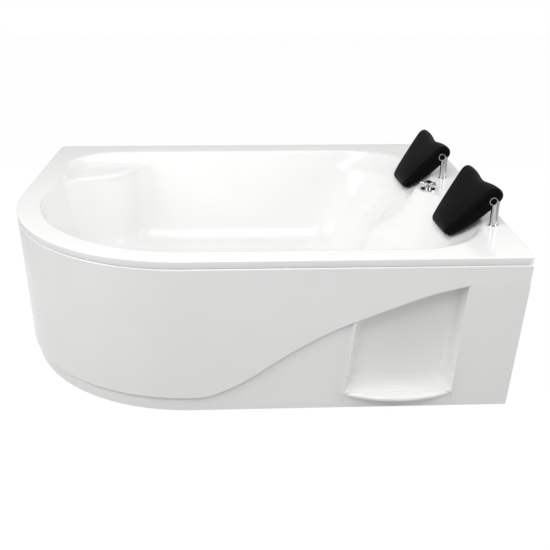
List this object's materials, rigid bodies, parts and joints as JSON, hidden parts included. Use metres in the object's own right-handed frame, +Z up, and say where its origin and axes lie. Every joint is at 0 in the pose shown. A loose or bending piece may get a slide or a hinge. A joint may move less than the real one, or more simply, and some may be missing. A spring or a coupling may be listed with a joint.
{
  "type": "soaking tub",
  "caption": "Two-person acrylic soaking tub with one rounded front corner, a formed skirt with a niche and S relief, black headrests on chrome posts and a star-shaped deck knob.",
  "frame": {"origin": "on the floor, under the middle of the whole bath's plan", "axes": "+X along the bath towards the headrests, +Y from the skirt's front towards the back wall, +Z up"},
  "size_m": [1.6995, 1.33, 0.6725],
  "materials": {
    "acrylic": "high gloss cast acrylic",
    "skirt_acrylic": "high gloss cast acrylic",
    "moulded_foam": "satin self-skinning polyurethane",
    "chrome": "polished",
    "frame_steel": "powder coat",
    "zinc_steel": "zinc plated",
    "board": "sealed particle board",
    "black_plastic": "moulded",
    "white_plastic": "moulded",
    "grey_plastic": "moulded",
    "black_rubber": "moulded",
    "brass": "turned"
  },
  "bodies": {
    "bath": {"tub_shell": "acrylic", "front_apron": "skirt_acrylic", "base_board": "board", "frame_rail_near": "frame_steel", "frame_rail_far": "frame_steel", "frame_cross_members": "frame_steel", "frame_uprights": "frame_steel", "rim_pads": "black_plastic", "foot_weld_nuts": "zinc_steel", "foot_lock_nuts": "zinc_steel", "post_collars": "chrome", "post_guides": "white_plastic", "guide_nuts": "white_plastic", "knob_rosette": "chrome", "knob_housing": "white_plastic", "housing_nut": "white_plastic", "control_cable": "black_plastic", "cable_clips": "white_plastic", "drain_flange": "chrome", "drain_gasket": "black_rubber", "waste_body": "white_plastic", "waste_nut": "white_plastic", "trap_body": "white_plastic", "pipe_nuts": "white_plastic", "overflow_cover": "chrome", "overflow_gasket": "black_rubber", "overflow_elbow": "white_plastic", "overflow_pipe": "white_plastic", "skirt_batten": "zinc_steel", "apron_brackets": "zinc_steel"},
    "pillow_bar_near": {"pillow_bar_near": "chrome"},
    "pillow_bar_far": {"pillow_bar_far": "chrome"},
    "pillow_near": {"pillow_near": "moulded_foam", "pillow_core_near": "grey_plastic"},
    "pillow_far": {"pillow_far": "moulded_foam", "pillow_core_far": "grey_plastic"},
    "drain_knob": {"drain_knob": "chrome", "knob_spindle": "brass"},
    "drain_plug": {"drain_plug": "chrome", "plug_stem": "brass"},
    "foot_1": {"foot_stem_1": "zinc_steel", "foot_pad_1": "black_rubber"},
    "foot_2": {"foot_stem_2": "zinc_steel", "foot_pad_2": "black_rubber"},
    "foot_3": {"foot_stem_3": "zinc_steel", "foot_pad_3": "black_rubber"},
    "foot_4": {"foot_stem_4": "zinc_steel", "foot_pad_4": "black_rubber"},
    "foot_5": {"foot_stem_5": "zinc_steel", "foot_pad_5": "black_rubber"},
    "foot_6": {"foot_stem_6": "zinc_steel", "foot_pad_6": "black_rubber"}
  },
  "joints": [
    {"name": "pillow_height_near", "type": "slide", "parent": "bath", "child": "pillow_bar_near", "axis": [0, 0, 1], "range_m": [0, 0.05]},
    {"name": "pillow_tilt_near", "type": "hinge", "parent": "pillow_bar_near", "child": "pillow_near", "pos_m": [0.77443, -0.2401, 0.63], "axis": [-0.0785, 0.9969, 0], "range_deg": [0, 20]},
    {"name": "pillow_height_far", "type": "slide", "parent": "bath", "child": "pillow_bar_far", "axis": [0, 0, 1], "range_m": [0, 0.05]},
    {"name": "pillow_tilt_far", "type": "hinge", "parent": "pillow_bar_far", "child": "pillow_far", "pos_m": [0.73366, 0.2779, 0.63], "axis": [-0.0785, 0.9969, 0], "range_deg": [0, 20]},
    {"name": "knob_turn", "type": "hinge", "parent": "bath", "child": "drain_knob", "pos_m": [0.666, 0.008, 0.542], "axis": [0, 0, 1], "range_deg": [0, 120]},
    {"name": "plug_lift", "type": "slide", "parent": "bath", "child": "drain_plug", "axis": [0, 0, 1], "range_m": [0, 0.012]},
    {"name": "foot_height_1", "type": "slide", "parent": "bath", "child": "foot_1", "axis": [0, 0, -1], "range_m": [0, 0.015]},
    {"name": "foot_height_2", "type": "slide", "parent": "bath", "child": "foot_2", "axis": [0, 0, -1], "range_m": [0, 0.015]},
    {"name": "foot_height_3", "type": "slide", "parent": "bath", "child": "foot_3", "axis": [0, 0, -1], "range_m": [0, 0.015]},
    {"name": "foot_height_4", "type": "slide", "parent": "bath", "child": "foot_4", "axis": [0, 0, -1], "range_m": [0, 0.015]},
    {"name": "foot_height_5", "type": "slide", "parent": "bath", "child": "foot_5", "axis": [0, 0, -1], "range_m": [0, 0.015]},
    {"name": "foot_height_6", "type": "slide", "parent": "bath", "child": "foot_6", "axis": [0, 0, -1], "range_m": [0, 0.015]}
  ],
  "couplings": [
    {"joint": "plug_lift", "follows": "knob_turn", "m_per_rad": 0.005729}
  ]
}
